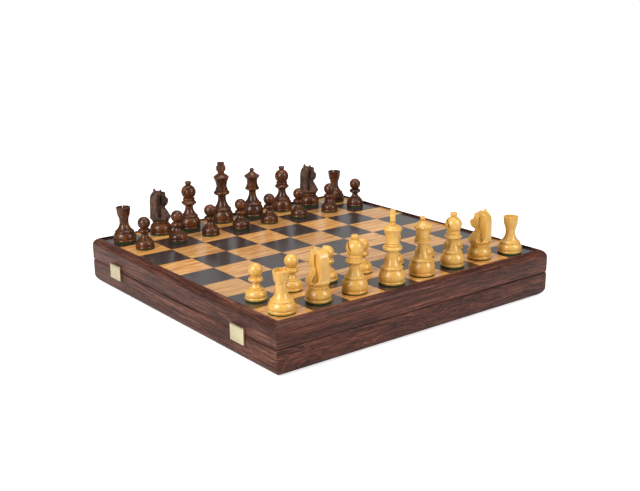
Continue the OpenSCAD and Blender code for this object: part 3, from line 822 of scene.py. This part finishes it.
NOTCHES = 6
DRILL_SHARE = 0.8
rook_d, rook_h = SIZES["rook"]
notch_w = 0.025 * rook_d
notch_z = 0.95 * rook_h
for k in range(NOTCHES):
    angle = 360 / NOTCHES * (k + 0.5)
    corner = (rook_d, notch_w / 2, rook_h + OVERRUN)
    saw = block("cutter", (rook_d / 5, -notch_w / 2, notch_z), corner)
    drill_r = DRILL_SHARE * notch_w
    drill = rod("cutter", (rook_d / 2, 0, notch_z), drill_r, rook_d / 2, (0, 90, 0))
    combine(models["rook"], [put(tool, (0, 0, 0), (0, 0, angle)) for tool in (saw, drill)])
print("cuts made in the king, the queen, the bishop and the rook")

# %% [markdown]
# A knight's head is carved apart and glued on a turned foot. The carver saws the side view
# from a block, then the front view, limits the skirt by a turned hem, and gouges the hollow
# that parts the mane from the jaw and the neck. The same cuts are made here with plates,
# turned bodies and a block, and the ears and the eyes are added. All of it could be sculpted,
# but cuts keep every outline a short list that can be compared with the photo. It is carved
# once and copied, as the four knights are alike.

# %% Carved knight's head
KNIGHT_SIDE = [
    (-0.69, 0.280, 0), (0.69, 0.280, 0), (0.93, 0.365, 0), (0.90, 0.400, 0), (0.26, 0.590, 0),
    (0.34, 0.618, 0.1), (0.66, 0.636, 0.12), (0.82, 0.690, 0.2), (0.72, 0.775, -0.1),
    (0.38, 0.850, 0), (0.40, 0.905, 0.1), (0.10, 0.940, 0), (-0.40, 0.945, 0.14),
    (-0.86, 0.780, 0.03), (-0.86, 0.420, 0), (-0.93, 0.365, 0),
]
# These reach a little past the side view's ends, so that no two faces lie in one plane
FACE_FRONT = [
    (0, 0.250), (0.605, 0.250), (0.93, 0.365), (0.90, 0.400), (0.31, 0.585), (0.42, 0.622),
    (0.47, 0.690), (0.46, 0.800), (0.42, 0.905), (0.38, 0.970), (0, 0.970),
]
MANE_FRONT = [
    (0, 0.251), (0.604, 0.251), (0.925, 0.364), (0.50, 0.401), (0.41, 0.600), (0.36, 0.971),
    (0, 0.971),
]
SKIRT = [(0, 0.240, 0), (0.568, 0.240, 0), (0.95, 0.365, 0), (0.95, 1, 0), (0, 1, 0)]
CHEST = [
    (0, 0.230, 0), (0.97, 0.230, 0), (0.97, 0.370, 0), (0.46, 0.600, 0), (0.97, 0.640, 0),
    (0.97, 0.980, 0), (0, 0.980, 0),
]
FLANK = [
    (-0.45, 0.335, 0), (-0.30, 0.480, -0.06), (-0.12, 0.640, 0.03), (-0.12, 0.860, 0),
    (-0.24, 0.860, 0.12), (-0.74, 0.600, 0.08),
]
knight_d, knight_h = SIZES["knight"]
r = knight_d / 2


def at(x, y, z):
    """A place on the knight in shares of the foot's radius and of the height."""
    return Vector((x * r, y * r, z * knight_h))


def front_view(name, shares, low_x, high_x):
    """A plate of a front view, drawn along X between two places."""
    plate = cut_plate(name, mirrored(shares, r, knight_h), high_x - low_x)
    return put(plate, ((low_x + high_x) / 2, 0, 0), (0, 0, 90))


MANE_X = -0.28 * r
BEHIND_X = -0.29
CORE_W = 0.44 * r
CHEEK_X, CHEEK_Y = 0.15, 0.47
CHEEK_TURN = 17
EYE_X, EYE_Y, EYE_Z = 0.28, 0.39, 0.860
EYE_R = 0.1 * r
EAR_X = -0.22 * r
EAR_Y = 0.36 * r
EAR_H = 0.11 * knight_h
EAR_R = 0.28 * r
EAR_TIP = 0.08 * r
EAR_FLATNESS = 0.55
EAR_LEAN = 12
head = cut_plate("head", outline(KNIGHT_SIDE, r, knight_h), knight_d)
front = front_view("face", FACE_FRONT, MANE_X, r)
combine(front, [front_view("mane", MANE_FRONT, -r, r / 2)], "UNION")
hem = turned("hem", outline(SKIRT, r, knight_h))
# In front of the mane the chest is rounded to a cone, behind it the block stays square
chest = turned("chest", outline(CHEST, r, knight_h))
combine(chest, [block("behind", at(-1.1, -1.1, 0.22), at(BEHIND_X, 1.1, 0.99))], "UNION")
combine(head, [front, hem, chest], "INTERSECT")
for side in (-1, 1):
    flank = cut_plate("cutter", outline(FLANK, r, knight_h), knight_d)
    flank = put(flank, (0, side * (CORE_W + knight_d) / 2, 0))
    # The cheeks narrow to the muzzle
    cheek = block("cutter", (0, min(0, side * r), 0), (r, max(0, side * r), knight_h))
    cheek = put(cheek, at(CHEEK_X, side * CHEEK_Y, 0.6), (0, 0, -side * CHEEK_TURN))
    combine(head, [flank, cheek])
    spot = at(EYE_X, side * EYE_Y, EYE_Z)
    bpy.ops.mesh.primitive_uv_sphere_add(segments=16, ring_count=12, radius=EYE_R, location=spot)
    eye = start("eye")
    ear = rod("ear", (0, 0, 0), EAR_R, EAR_H, tip=EAR_TIP)
    ear.scale = (1, EAR_FLATNESS, 1)
    put(ear, (EAR_X, side * EAR_Y, knight_h - EAR_H / 2), (-EAR_LEAN * side, 0, 0))
    combine(head, [eye, ear], "UNION")
print("head", len(head.data.polygons), "faces before the remesh")

# %% [markdown]
# The locks of the mane, the mouth and the nostrils are cut with a V-shaped gouge. A square bar
# on edge leaves the same groove. A voxel remesh then fuses all the cuts into one even skin, and
# smoothing rounds its edges as sanding does.


# %% Carved lines of the mane, the mouth and the nostrils
LOCKS = 6
LOCK_DEPTH = 0.7 * MM
MOUTH_DEPTH = 0.5 * MM
NOSTRIL_DEPTH = 0.6 * MM
VOXEL = 0.32 * MM


def groove(p, q, depth):
    """A square bar between two places, for a carved line."""
    way = q - p
    bar = rod("cutter", (0, 0, 0), depth, way.length, sides=4)
    bar.rotation_mode = "QUATERNION"
    bar.rotation_quaternion = way.to_track_quat("Z", "Y")
    bar.location = (p + q) / 2
    only(bar)
    bpy.ops.object.transform_apply(location=True, rotation=True, scale=True)
    return bar


for side in (-1, 1):
    for k in range(LOCKS):
        # Each lock starts higher and further forward, where the neck is narrower
        z = 0.55 + 0.068 * k
        wide = 0.43 - 0.14 * (z - 0.6)
        inner = at(-0.74 + 0.08 * k, side * wide, z + 0.035)
        outer = at(-0.95, side * wide, z - 0.01)
        combine(head, [groove(inner, outer, LOCK_DEPTH)])
    mouth = groove(at(0.42, side * 0.45, 0.685), at(0.88, side * 0.25, 0.668), MOUTH_DEPTH)
    nostril = groove(at(0.68, side * 0.20, 0.735), at(0.72, side * 0.45, 0.735), NOSTRIL_DEPTH)
    combine(head, [mouth, nostril])
apply_modifier(head, "REMESH", mode="VOXEL", voxel_size=VOXEL)
bpy.ops.object.mode_set(mode="EDIT")
bpy.ops.mesh.select_all(action="SELECT")
bpy.ops.mesh.vertices_smooth(factor=0.5, repeat=2)
bpy.ops.object.mode_set(mode="OBJECT")
print("head", len(head.data.polygons), "faces after the remesh")

# %% [markdown]
# The men are set down by hand, so each stands where its own solid does, a little off the
# middle of its square and turned its own way. A heading is an angle about the upright, from the
# right side of the box. A pawn looks the same from all sides, so it has none. Each man is a
# copy with its own mesh, and its pad of felt moves with it.

# %% Place the men
HEADINGS = {
    "light_rook_1": 13, "light_knight_1": 178, "light_bishop_1": 210, "light_king": -42,
    "light_bishop_2": 204, "light_knight_2": 192, "light_rook_2": 21,
    "dark_rook_1": 10, "dark_knight_1": 105, "dark_bishop_1": 10, "dark_king": 50,
    "dark_bishop_2": 144, "dark_knight_2": 98,
}
WOODS = {"light": ("boxwood", BOXWOOD, BOXWOOD), "dark": ("rosewood", ROSEWOOD, CARVED)}

for node in sorted(NODES):
    side, _, name = node.partition("_")
    kind = name.split("_")[0]
    if side not in WOODS or kind not in models:
        continue
    low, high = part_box(node)
    place = ((low.x + high.x) / 2, (low.y + high.y) / 2, BOARD_Z)
    turn = (0, 0, HEADINGS.get(node, 0))
    wood_slot, wood, carved = WOODS[side]
    man = put(copy_of(models[kind], node + "_turned"), place, turn)
    finished(man, wood, node, wood_slot, node)
    if kind == "knight":
        top = put(copy_of(head, node + "_head"), place, turn)
        finished(top, carved, node, wood_slot, node)
    pad = put(copy_of(pads[kind], node + "_felt"), place)
    finished(pad, GREEN_FELT, node, "green_felt", node)
for piece in [head, *models.values(), *pads.values()]:
    bpy.data.objects.remove(piece)

# %% [markdown]
# A clasp's flap is a brass sheet folded back at both ends. It turns on a pin through knuckles
# that are rolled from the sheet, and between them sit the knuckles of the leaf on the lid. The
# fold is a rounded block, hollowed from behind, with the knuckles spun and let in. The model's
# own flap has square corners, and the rounded fold is what catches the light in the photo.

# %% Clasp flaps
SHEET = 1 * MM
KNUCKLE_R = 1.3 * MM
KNUCKLES = 5
SWING_GAP = 0.4 * MM
FOLD_R = 0.7 * MM
FOLD_STEPS = 4
FLAP_SOFTENING = 0.12 * MM
RIM = 0.15 * MM
KNUCKLE_STEPS = 24


def knuckle(name, place, radius, bore, length):
    """A short tube along X with softened rims."""
    half = length / 2
    ring = [(-half, bore), (half, bore), (half, radius - RIM), (half - RIM, radius)]
    ring += [(RIM - half, radius), (-half, radius - RIM), (-half, bore)]
    return put(turned(name, [Vector(p) for p in ring], KNUCKLE_STEPS, (1, 0, 0)), place)


pin_low, pin_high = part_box("clasp_pins")
pin_r = (pin_high.z - pin_low.z) / 2
for side in ("left", "right"):
    low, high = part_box(f"{side}_clasp_flap")
    pin = Vector(((low.x + high.x) / 2, pin_low.y + pin_r, pin_low.z + pin_r))
    pitch = (high.x - low.x) / KNUCKLES
    flap = block(f"{side}_clasp_flap_folded", low, (high.x, high.y, pin.z))
    pick_edges(flap, lambda a, b: abs(a.x - b.x) < NEAR and max(a.y, b.y) < low.y + NEAR)
    round_picked(FOLD_R, FOLD_STEPS)
    inner_low = (low.x + SHEET, low.y + SHEET, low.z - OVERRUN)
    inner_high = (high.x - SHEET, high.y + OVERRUN, pin.z + OVERRUN)
    combine(flap, [block("cutter", inner_low, inner_high)])
    soften(flap, FLAP_SOFTENING)
    for k in range(KNUCKLES):
        spot = pin + Vector(((k - (KNUCKLES - 1) / 2) * pitch, 0, 0))
        if k % 2:
            # Room for a knuckle of the leaf
            room_r = KNUCKLE_R + SWING_GAP / 2
            combine(flap, [rod("cutter", spot, room_r, pitch + SWING_GAP, (0, 90, 0))])
        else:
            combine(flap, [knuckle("knuckle", spot, KNUCKLE_R, pin_r, pitch)], "UNION")
    finished(flap, BRASS, f"{side}_clasp_flap", "brass", f"{side}_clasp_flap")
    print(flap.name, len(flap.data.polygons), "faces")

# %% [markdown]
# The tray's dividers are strips of board covered with felt, so their upper edges are round.
# One strip is shaped for each length and copied along the tray.

# %% Dividers of the tray
DIVIDER_T = 5 * MM
STALL_L = 88 * MM
STALLS = 8
TOP_R = 2.2 * MM
TOP_STEPS = 5
low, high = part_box("storage_dividers")
pitch = (2 * INNER_HIGH + DIVIDER_T) / STALLS


def strip(name, low, high):
    """A felt-covered strip with its top rounded."""
    piece = block(name, low, high)
    pick_edges(piece, lambda a, b: min(a.z, b.z) > high[2] - NEAR)
    round_picked(TOP_R, TOP_STEPS)
    return piece


half_t = DIVIDER_T / 2
across = strip("across", (low.x, -half_t, low.z), (high.x, half_t, high.z))
between = strip("between", (-half_t, 0, low.z), (half_t, STALL_L - POCKET_GAP, high.z))
wall_y = INNER_HIGH - STALL_L - half_t
strips = [put(copy_of(across, "strip"), (0, y, 0)) for y in (-wall_y, 0, wall_y)]
for k in range(1, STALLS):
    x = low.x + k * pitch - half_t
    for y in (low.y, high.y - STALL_L + POCKET_GAP):
        strips.append(put(copy_of(between, "strip"), (x, y, 0)))
bpy.data.objects.remove(across)
bpy.data.objects.remove(between)
dividers = joined(strips)
dividers.name = "storage_dividers_felted"
finished(dividers, TRAY_FELT, "base", "tray_felt", "storage_dividers")
print(dividers.name, len(dividers.data.polygons), "faces")
